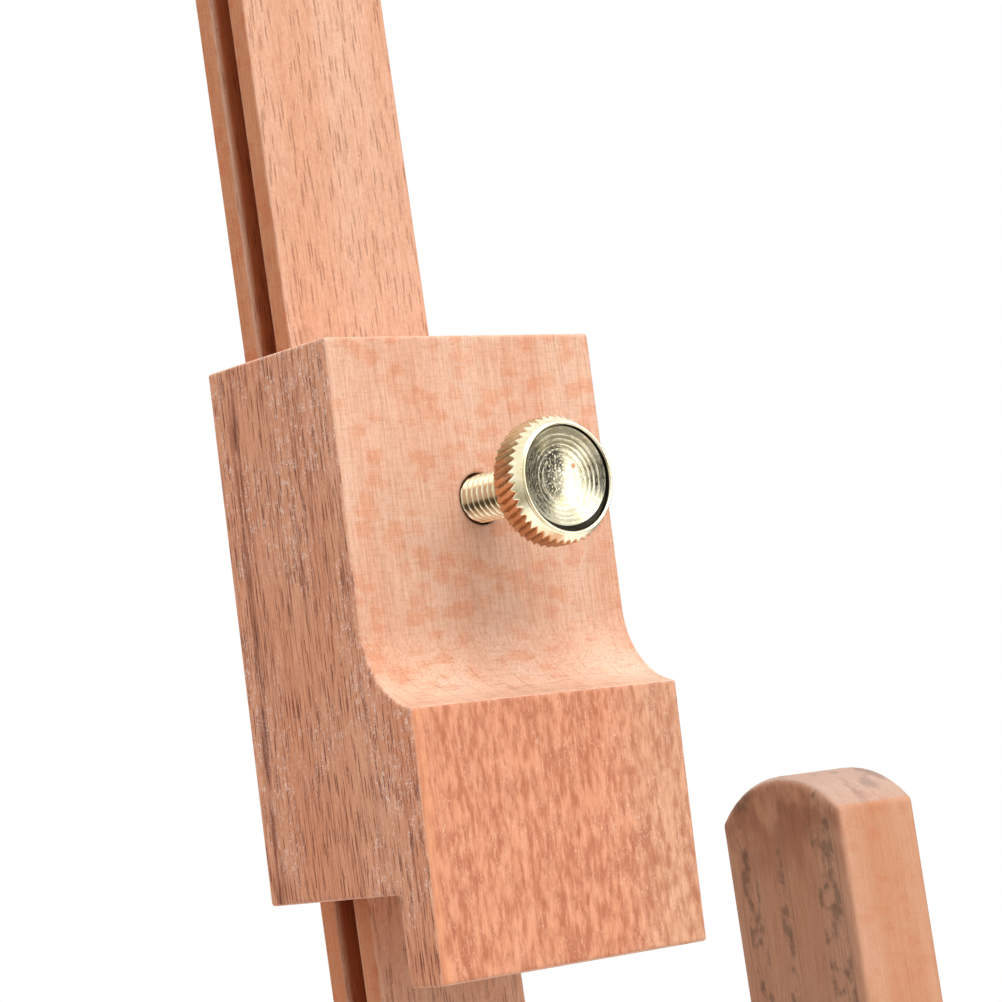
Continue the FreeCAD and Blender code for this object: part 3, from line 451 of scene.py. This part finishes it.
def screw_brass():
    """Brass of the thumb screws, browner in the thread and on the knurl, where a reflection of the wood and
    shade between the teeth are painted.

    The dish has turning marks, worn plating, a brown dot and painted shade in its corner. The place is
    counted from the middle of the head's back face, along the screw.
    """
    shader = Shader.material("brass_screw")
    place = shader.node("ShaderNodeTexCoord").outputs["Object"]
    split = shader.node("ShaderNodeSeparateXYZ", None, {"Vector": place})
    across, upward, along = split.outputs
    radius = shader.math("SQRT", shader.math("ADD", shader.math("POWER", across, 2.0),
                                             shader.math("POWER", upward, 2.0)))
    colour = plating(shader, place)
    # painted reflection of the wood on the knurl's sides and between the teeth where the bevel cuts them,
    # and painted shade deep between the teeth
    past_knurl = shader.math("MAXIMUM", shader.math("SUBTRACT", along, KNURL_END), 0.0)
    bevel = shader.math("SUBTRACT", KNURL_RADIUS, shader.math("MULTIPLY", past_knurl, BEVEL_SLOPE))
    below = shader.math("SUBTRACT", bevel, radius)
    side = shader.ramp(along, KNURL_END, KNURL_END - 0.1 * MM)
    knurl_reflection_and_shade = shader.product(shader.math("MAXIMUM", shader.ramp(below, 0.02 * MM, 0.09 * MM), side),
                             shader.ramp(radius, RIM_RADIUS + 0.25 * MM, RIM_RADIUS + 0.35 * MM),
                             shader.ramp(along, 0.0, 0.3 * MM))
    colour = shader.mix(shader.math("MULTIPLY", knurl_reflection_and_shade, 0.88), colour, rgb(0.60, 0.34, 0.17))
    # painted shade deep between the teeth
    colour = shader.mix(shader.product(knurl_reflection_and_shade, shader.ramp(below, 0.22 * MM, 0.42 * MM), 0.6), colour,
                        rgb(0.26, 0.14, 0.07))
    # the roots of the thread
    thread = shader.math("MULTIPLY", shader.ramp(radius, SHANK_RADIUS, SHANK_RADIUS - 0.24 * MM),
                         shader.ramp(along, 0.1 * MM, -0.1 * MM))
    colour = shader.mix(shader.math("MULTIPLY", thread, 0.9), colour, rgb(0.42, 0.23, 0.12))
    # the dish and the marks of its turning
    in_dish = shader.math("MULTIPLY", shader.ramp(radius, DISH_RADIUS, DISH_RADIUS - 0.15 * MM),
                          shader.ramp(along, KNURL_LENGTH - 0.3 * MM, KNURL_LENGTH))
    turn = shader.math("ARCTAN2", upward, across)
    ring = shader.node("ShaderNodeCombineXYZ", None, {"X": shader.math("DIVIDE", radius, 0.13 * MM),
                                                      "Y": shader.math("MULTIPLY", turn, 1.6)})
    marks = shader.math("MULTIPLY", shader.noise(ring, 3, 0.65), shader.math("MULTIPLY", in_dish, 1.3))
    colour = shader.stain(in_dish, colour, rgb(0.72, 0.72, 0.72))
    # a patch where the plating is worn through in specks, and a brown dot
    from_worn = [shader.math("DIVIDE", shader.math("SUBTRACT", where, middle), stretch)
                 for where, middle, stretch in zip((across, upward), DISH_WORN_AT, DISH_WORN_STRETCH)]
    far = shader.node("ShaderNodeVectorMath", {"operation": "LENGTH"}, {
        0: shader.node("ShaderNodeCombineXYZ", None, {"X": from_worn[0], "Y": from_worn[1]})})
    speck = shader.noise(shader.scaled(place, 0.30, 0.30, 0.30), 4, 0.75)
    worn = shader.product(in_dish, shader.ramp(far.outputs["Value"], *DISH_WORN_FADE),
                          shader.ramp(speck, 0.40, 0.48), 0.96)
    colour = shader.mix(worn, colour, rgb(0.04, 0.037, 0.03))
    dot = shader.node("ShaderNodeVectorMath", {"operation": "DISTANCE"},
                      {0: shader.node("ShaderNodeCombineXYZ", None, {"X": across, "Y": upward}),
                       1: DISH_DOT_AT}).outputs["Value"]
    colour = shader.mix(shader.math("MULTIPLY", in_dish, shader.ramp(dot, *DISH_DOT_FADE)), colour,
                        rgb(0.36, 0.20, 0.11))
    # painted shade in the corner under the rim, widest at the bottom
    toward = shader.math("DIVIDE", shader.dot(place, RIM_SHADE_WAY), radius)
    width = shader.math("MULTIPLY", shader.math("POWER", shader.math("MAXIMUM", toward, 0.0), 1.5),
                        RIM_SHADE_WIDTH)
    corner = shader.math("ADD", radius, width)
    rim_shade = shader.product(shader.ramp(corner, DISH_RADIUS - 0.18 * MM, DISH_RADIUS - 0.12 * MM),
                          shader.ramp(radius, DISH_RADIUS + 0.02 * MM, DISH_RADIUS - 0.03 * MM),
                          shader.ramp(along, KNURL_LENGTH, KNURL_LENGTH + 0.2 * MM))
    colour = shader.mix(rim_shade, colour, rgb(0.024, 0.021, 0.015))
    return brass_surface(shader, place, colour, marks, in_dish, GLOSSY)


def steel():
    """Zinc-plated steel with fine scratches."""
    shader = Shader.material("zinc_steel")
    place = shader.node("ShaderNodeTexCoord").outputs["Object"]
    scratch = shader.noise(shader.scaled(place, 0.15, 1.2, 0.15), 4, 0.7)
    blotch = shader.noise(shader.scaled(place, 2, 2, 2), 3)
    colour = shader.mix(blotch, rgb(0.62, 0.61, 0.58), rgb(0.42, 0.41, 0.39))
    bump = shader.node("ShaderNodeBump", None, {"Strength": 0.3, "Distance": 0.03 * MM, "Height": scratch})
    roughness = shader.math("ADD", 0.25, shader.math("MULTIPLY", scratch, 0.2))
    return shader.finish(shader.node("ShaderNodeBsdfPrincipled", None,
                                     {"Base Color": colour, "Metallic": 1.0, "Roughness": roughness,
                                      "Normal": bump}))


def rubber():
    """Black rubber with a fine skin."""
    shader = Shader.material("rubber")
    place = shader.node("ShaderNodeTexCoord").outputs["Object"]
    grain = shader.noise(shader.scaled(place, 0.3, 0.3, 0.3), 4, 0.7)
    colour = shader.mix(grain, rgb(0.012, 0.012, 0.012), rgb(0.035, 0.034, 0.033))
    bump = shader.node("ShaderNodeBump", None, {"Strength": 0.5, "Distance": 0.1 * MM, "Height": grain})
    return shader.finish(shader.node("ShaderNodeBsdfPrincipled", None,
                                     {"Base Color": colour, "Roughness": 0.7, "Normal": bump}))


# ---------------------------------------------------------------- thumb screws

TEETH = 46
SIDES_PER_TOOTH = 8
TOOTH_DEPTH = 0.46 * MM
TOOTH_SLANT = 3.2 * MM
THREAD_PITCH = 1.0 * MM
THREAD_DEPTH = 0.55 * MM
TIP_CHAMFER = 0.5 * MM
SHANK_RADIUS = 2.9 * MM
SHANK_SIDES = 40
ROOT_OVERLAP = 0.2 * MM
KNURL_RADIUS = 7.55 * MM
KNURL_LENGTH = 3.6 * MM
KNURL_END = KNURL_LENGTH - 0.2 * MM
BEVEL_LENGTH = 1.5 * MM
BEVEL_SLOPE = 0.7
RIM_RADIUS = 6.6 * MM
DISH_RADIUS = 6.2 * MM
DISH_DEPTH = 1.6 * MM
DISH_WALL = 0.5 * MM
DISH_RIPPLE = 0.013 * MM
DISH_RIPPLES = 8.5
# marks in the dish, their places counted across and upward from its middle
DISH_WORN_AT = (-0.75 * MM, 0.95 * MM)
DISH_WORN_STRETCH = (1.5, 2.8)
DISH_WORN_FADE = (1.5 * MM, 0.7 * MM)
DISH_DOT_AT = (2.1 * MM, 1.5 * MM, 0)
DISH_DOT_FADE = (0.36 * MM, 0.26 * MM)
# the way in which the painted shade under the dish's rim is widest, and how wide it gets
RIM_SHADE_WAY = (0.15, -0.99, 0)
RIM_SHADE_WIDTH = 0.6 * MM
CRISP_ANGLE = math.radians(38)


def lathe(rings, segments):
    """Closed mesh from rings given as (height, radius of the angle), with a point at each end."""
    points = [Vector((0, 0, rings[0][0]))]
    for height, radius in rings:
        for step in range(segments):
            angle = 2 * math.pi * step / segments
            reach = radius(angle)
            points.append(Vector((reach * math.cos(angle), reach * math.sin(angle), height)))
    points.append(Vector((0, 0, rings[-1][0])))
    faces = [(0, 1 + (step + 1) % segments, 1 + step) for step in range(segments)]
    for ring in range(len(rings) - 1):
        low, high = 1 + ring * segments, 1 + (ring + 1) * segments
        for step in range(segments):
            after = (step + 1) % segments
            faces.append((low + step, low + after, high + after, high + step))
    last = 1 + (len(rings) - 1) * segments
    faces += [(len(points) - 1, last + step, last + (step + 1) % segments) for step in range(segments)]
    return points, faces


def steady(radius):
    return lambda angle: radius


def shank_rings(length):
    """Rings of the threaded shank from its chamfered tip up into the head, whose back face is at 0."""
    steps_per_turn = 10
    count = int(length / THREAD_PITCH * steps_per_turn)
    tip = ROOT_OVERLAP - length
    rings = [(tip, steady(SHANK_RADIUS - TIP_CHAMFER))]
    for index in range(1, count):
        height = length * index / count
        crest = min(SHANK_RADIUS, SHANK_RADIUS - TIP_CHAMFER + height)

        def threaded(angle, height=height, crest=crest):
            turn = (height / THREAD_PITCH - angle / (2 * math.pi)) % 1.0
            return crest - THREAD_DEPTH * (1 - abs(2 * turn - 1)) ** 1.2

        rings.append((tip + height, threaded))
    return rings


def knurled(height, limit):
    """The slanted teeth at one height of the head, cut off at the radius limit."""
    def radius(angle):
        turn = (angle / (2 * math.pi) * TEETH + height / TOOTH_SLANT) % 1.0
        return min(limit, KNURL_RADIUS - TOOTH_DEPTH * (1 - abs(2 * turn - 1)))
    return radius


def head_rings():
    """Rings of the head: collar, knurl, bevel, rim and hollow dish with the lathe's marks."""
    collar = 0.45 * MM
    collar_steps = 4
    rings = [(0.0, steady(KNURL_RADIUS - TOOTH_DEPTH - collar))]
    for index in range(1, collar_steps + 1):
        turn = math.pi / 2 * index / collar_steps
        rings.append((collar * (1 - math.cos(turn)),
                      steady(KNURL_RADIUS - TOOTH_DEPTH - collar * (1 - math.sin(turn)))))
    knurl_start = collar + 0.2 * MM
    knurl_steps = 6
    for index in range(knurl_steps + 1):
        height = knurl_start + (KNURL_END - knurl_start) * index / knurl_steps
        rings.append((height, knurled(height, KNURL_RADIUS)))
    top = KNURL_LENGTH + BEVEL_LENGTH
    groove = top - 0.34 * MM
    bevel_steps = 10
    for index in range(1, bevel_steps + 1):
        share = index / bevel_steps
        height = KNURL_END + (groove - KNURL_END) * share
        rings.append((height, knurled(height, KNURL_RADIUS - BEVEL_SLOPE * (height - KNURL_END))))
    # fine groove, rounded rim and the edge of the dish
    edge = DISH_RADIUS - 0.10 * MM
    rings += [(groove + 0.03 * MM, steady(RIM_RADIUS - 0.10 * MM)),
              (groove + 0.10 * MM, steady(RIM_RADIUS - 0.02 * MM)),
              (top - 0.10 * MM, steady(RIM_RADIUS)),
              (top - 0.03 * MM, steady(RIM_RADIUS - 0.05 * MM)),
              (top, steady(RIM_RADIUS - 0.15 * MM)),
              (top - 0.02 * MM, steady(DISH_RADIUS + 0.10 * MM)),
              (top - 0.10 * MM, steady(DISH_RADIUS)),
              (top - DISH_WALL, steady(edge))]
    dish_steps = 60
    for index in range(1, dish_steps):
        share = 1 - index / dish_steps
        swing = 2 * math.pi * DISH_RIPPLES * share + 2.0 * math.sin(9.0 * share)
        ripple = DISH_RIPPLE * share * math.sin(swing)
        height = top - DISH_DEPTH + (DISH_DEPTH - DISH_WALL) * share ** 2 + ripple
        rings.append((height, steady(max(edge * share, 0.2 * MM))))
    return rings


def screw_piece(name, node, joint, body, material):
    """Detailed thumb screw in the place of its plain CAD node."""
    along = Vector(JOINTS[joint]["axis"]).normalized()
    on_axis = Vector(JOINTS[joint]["pos_m"])
    reach = [(vertex.co - on_axis).dot(along) for vertex in NODES[node].data.vertices]
    back = max(reach) - KNURL_LENGTH - BEVEL_LENGTH
    shank_points, shank_faces = lathe(shank_rings(back - min(reach) + ROOT_OVERLAP), SHANK_SIDES)
    head_points, head_faces = lathe(head_rings(), TEETH * SIDES_PER_TOOTH)
    first = len(shank_points)
    mesh = bpy.data.meshes.new(name)
    mesh.from_pydata(shank_points + head_points, [],
                     shank_faces + [tuple(index + first for index in face) for face in head_faces])
    mesh.materials.append(material)
    for polygon in mesh.polygons:
        polygon.use_smooth = True
    screw = bpy.data.objects.new(name, mesh)
    bpy.context.scene.collection.objects.link(screw)
    crisp = screw.modifiers.new("crisp", "EDGE_SPLIT")
    crisp.split_angle = CRISP_ANGLE
    seat = Matrix.Translation(on_axis + along * back)
    screw.matrix_world = seat @ along.to_track_quat("Z", "Y").to_matrix().to_4x4()
    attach(screw, body)
    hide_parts(node)


# ---------------------------------------------------------------- the wooden pieces

def paint(node, material):
    slots = NODES[node].data.materials
    slots.clear()
    slots.append(material)


STREAK_FROM_FACE = 28.0 * MM
STREAK_LEAN = 0.037


def holder_stain(shader, coordinates, wood, colour):
    """A long dark streak down the sides, and the lip's sawn front, deeper and mottled.

    The lip is smoother at its left edge, paler at its right and darker at its foot.
    """
    low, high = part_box("holder_block")
    face = max(corner.co.dot(HOLDER_OUT) for corner in NODES["holder_block"].data.vertices)
    out = shader.dot(coordinates.outputs["Object"], HOLDER_OUT)
    across = shader.dot(coordinates.outputs["Object"], ACROSS)
    facing = shader.dot(coordinates.outputs["Normal"], HOLDER_OUT)
    sideways = shader.math("ABSOLUTE", shader.dot(coordinates.outputs["Normal"], ACROSS))
    wander = shader.math("MULTIPLY", shader.noise(shader.scaled(wood, 30, 30, 14), 3), 1.6 * MM)
    upward = shader.dot(coordinates.outputs["Object"], HOLDER_UP)
    middle = middle_of("holder_block").dot(HOLDER_UP)
    lean = shader.math("MULTIPLY", shader.math("SUBTRACT", upward, middle), STREAK_LEAN)
    uneven = shader.math("ADD", shader.math("ADD", out, wander), lean)
    aside = shader.math("ABSOLUTE", shader.math("SUBTRACT", uneven, face - STREAK_FROM_FACE))
    streak = shader.math("MULTIPLY", shader.ramp(aside, 1.15 * MM, 0.2 * MM),
                         shader.ramp(shader.noise(shader.scaled(wood, 0.5, 2, 6), 3), 0.30, 0.6))
    colour = shader.stain(shader.math("MULTIPLY", streak, shader.ramp(sideways, 0.7, 0.9)), colour,
                          rgb(0.50, 0.40, 0.38))
    mask = shader.math("MULTIPLY", shader.ramp(out, face - 1.5 * MM, face - 0.9 * MM),
                       shader.ramp(facing, 0.75, 0.9))
    spots = shader.noise(shader.scaled(wood, 0.9, 0.9, 2.6), 3, 0.6, 0.2)
    broad = shader.noise(shader.scaled(wood, 4, 4, 8), 3, 0.6)
    mottle = shader.math("ADD", shader.math("MULTIPLY", spots, 0.7), shader.math("MULTIPLY", broad, 0.3))
    deep = shader.mix(shader.ramp(mottle, 0.38, 0.64), rgb(0.71, 0.312, 0.175), rgb(0.45, 0.142, 0.065))
    threads = shader.noise(shader.scaled(wood, 0.16, 0.16, 3.5), 2, 0.6)
    deep = shader.stain(shader.ramp(threads, 0.42, 0.66), deep, rgb(0.90, 0.80, 0.74))
    lint = shader.ramp(shader.noise(shader.scaled(wood, 0.17, 0.17, 0.40), 2, 0.6, 0.6), 0.56, 0.72)
    linty = shader.ramp(shader.noise(shader.scaled(wood, 2, 2, 3), 2), 0.40, 0.60)
    lint = shader.math("MULTIPLY", lint, linty)
    deep = shader.mix(shader.math("MULTIPLY", lint, 0.55), deep, rgb(0.86, 0.60, 0.48))
    smooth = shader.mix(shader.ramp(shader.noise(shader.scaled(wood, 0.5, 0.5, 5), 3), 0.4, 0.62),
                        rgb(0.76, 0.33, 0.165), rgb(0.62, 0.22, 0.105))
    ragged = shader.math("ADD", across, shader.math("MULTIPLY", mottle, 1.6 * MM))
    strip = shader.math("MULTIPLY", shader.ramp(ragged, low.x + 2.6 * MM, low.x + 1.8 * MM), 0.6)
    deep = shader.mix(strip, deep, smooth)
    pale = shader.mix(1.0, deep, rgb(0.96, 1.16, 1.26), "MULTIPLY")
    deep = shader.mix(shader.ramp(across, high.x - 13 * MM, high.x - 3 * MM), deep, pale)
    foot = min(corner.co.dot(HOLDER_UP) for corner in NODES["holder_block"].data.vertices)
    near_foot = shader.math("MULTIPLY", shader.ramp(upward, foot + 7 * MM, foot + 1 * MM), 0.8)
    deep = shader.stain(near_foot, deep, rgb(0.82, 0.76, 0.72))
    return shader.mix(shader.math("MULTIPLY", mask, 0.92), colour, deep)


def mast_side_and_groove_shade(shader, coordinates, wood, colour):
    """Painted shade: the mast's sides are a deeper orange than its front, deepest in the grooves."""
    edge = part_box("mast")[1].x
    depths = [corner.co.dot(THROUGH) for corner in NODES["mast"].data.vertices]
    place = coordinates.outputs["Object"]
    across = shader.math("ABSOLUTE", shader.dot(place, ACROSS))
    facing = shader.math("ABSOLUTE", shader.dot(coordinates.outputs["Normal"], ACROSS))
    # painted shade on the mast's sides
    colour = shader.stain(shader.ramp(facing, 0.5, 0.9), colour, rgb(0.76, 0.55, 0.39))
    sawn = shader.math("ABSOLUTE", shader.dot(coordinates.outputs["Normal"], MAST))
    through = shader.dot(place, THROUGH)
    inner = shader.product(shader.ramp(across, edge - 0.2 * MM, edge - 1.2 * MM),
                           shader.ramp(through, min(depths) + 0.5 * MM, min(depths) + 1.5 * MM),
                           shader.ramp(through, max(depths) - 0.5 * MM, max(depths) - 1.5 * MM),
                           shader.ramp(sawn, 0.7, 0.3))
    # painted shade, deepest in the grooves
    return shader.stain(inner, colour, rgb(0.58, 0.27, 0.13))


def post_stain(shader, coordinates, wood, colour):
    """Strings of grey-black mildew spots along the sides of the posts."""
    lines = shader.ramp(shader.noise(shader.scaled(wood, 3.4, 3.4, 110), 1), 0.51, 0.60)
    spots = shader.ramp(shader.noise(shader.scaled(wood, 2.0, 2.0, 3.0), 3, 0.6), 0.44, 0.66)
    facing = shader.math("ABSOLUTE", shader.dot(coordinates.outputs["Normal"], ACROSS))
    sides = shader.ramp(facing, 0.5, 0.9)
    mask = shader.product(lines, spots, sides, 0.75)
    colour = shader.stain(mask, colour, rgb(0.32, 0.35, 0.36))
    # browner towards the top, nearly black in places under the rounded end
    top = max(corner.co.dot(MAST) for corner in NODES["post_left"].data.vertices)
    height = shader.dot(coordinates.outputs["Object"], MAST)
    cloud = shader.noise(shader.scaled(wood, 5, 3, 8), 3)
    brown = shader.product(shader.ramp(height, top - 20 * MM, top - 6 * MM),
                           shader.ramp(cloud, 0.42, 0.60), sides, 0.8)
    colour = shader.stain(brown, colour, rgb(0.66, 0.52, 0.46))
    black = shader.product(shader.ramp(height, top - 7 * MM, top - 2 * MM),
                           shader.ramp(cloud, 0.52, 0.66), 0.55)
    return shader.stain(black, colour, rgb(0.42, 0.42, 0.43))


def paint_wood():
    """Gives each wooden piece a beech of its own, with the grain along it."""
    # the mast gets painted shade on its sides and in its grooves
    paint("mast", beech("beech_mast", MAST, THROUGH,
                        Wood(plate=(0.40, 4.0, 4.5), dash=0.6, lines=0.10, streak=0.06, fuzz=0.1,
                             light=rgb(0.74, 0.45, 0.315), dark=rgb(0.70, 0.365, 0.225),
                             painted_side_shade=rgb(1.0, 1.0, 1.0)), 0.013, mast_side_and_groove_shade))
    paint("holder_block", beech("beech_holder", HOLDER_UP, ACROSS,
                                Wood(fuzz=0.75, streak=0.40, rings=0.42), 0.037, holder_stain))
    # the posts' sides get a strong painted shade
    post = Wood(streak=0.30, painted_side_shade=rgb(0.72, 0.73, 0.74), light=rgb(0.585, 0.320, 0.200),
                dark=rgb(0.53, 0.240, 0.125), fleck=0.5, dash=0.20, lines=0.25, fuzz=0.0, fine=0.5,
                bump=0.25, end=0.75, end_tone=rgb(0.45, 0.335, 0.28), rings=0.15)
    bar = Wood(plate=(0.5, 3.6, 4.5), dash=0.6, lines=0.3)
    for index, side in enumerate(("left", "right")):
        paint("post_" + side, beech("beech_post_" + side, MAST, ACROSS, post,
                                    0.05 + index * 0.031, post_stain))
        paint("runner_" + side, beech("beech_runner_" + side, BACK, UP, bar, 0.11 + index * 0.023))
        paint("strut_" + side, beech("beech_strut_" + side, STRUT, ACROSS, bar, 0.17 + index * 0.029))
    for index, name in enumerate(("upper", "lower")):
        paint(name + "_crossbar", beech("beech_%s_crossbar" % name, ACROSS, THROUGH, bar,
                                        0.21 + index * 0.017))
        for number, side in enumerate(("left", "right")):
            paint("guide_cheek_%s_%s" % (name, side),
                  beech("beech_cheek_%s_%s" % (name, side), MAST, ACROSS, Wood(),
                        0.25 + index * 0.013 + number * 0.007))
    for index, name in enumerate(("front", "rear")):
        paint("base_bar_" + name, beech("beech_base_" + name, ACROSS, BACK, bar, 0.31 + index * 0.019))
    paint("tray_block", beech("beech_tray_block", MAST, ACROSS, Wood(fuzz=0.6), 0.37))
    paint("tray_shelf", beech("beech_tray_shelf", ACROSS, THROUGH, bar, 0.41))
    paint("tray_rim", beech("beech_tray_rim", ACROSS, MAST, bar, 0.43))


def paint_metal():
    plate = brass("brass_plate")
    zinc = steel()
    for node in NODES:
        keeper = node.startswith("keeper_") and node != "keeper_screws"
        if keeper or "insert" in node or "washer" in node:
            paint(node, plate)
        elif node.endswith("_screws") or node in ("hinge_bolts", "hinge_nuts", "pivot_bolts", "pivot_nuts",
                                                  "foot_pins"):
            paint(node, zinc)
    paint("hinge_spacers", plate)
    paint("rubber_feet", rubber())


def add_screws():
    material = screw_brass()
    for node, joint, body in (("holder_screw", "holder_screw_turn", "holder_knob"),
                              ("tray_screw", "tray_screw_turn", "tray_knob"),
                              ("mast_lock_screw", "mast_lock_turn", "mast_lock"),
                              ("clamp_screw_left", "clamp_left_turn", "clamp_left"),
                              ("clamp_screw_right", "clamp_right_turn", "clamp_right")):
        screw_piece(node + "_knurled", node, joint, body, material)


# ---------------------------------------------------------------- the scene

add_camera()
add_studio()
paint_wood()
paint_metal()
add_screws()

bpy.context.view_layer.update()
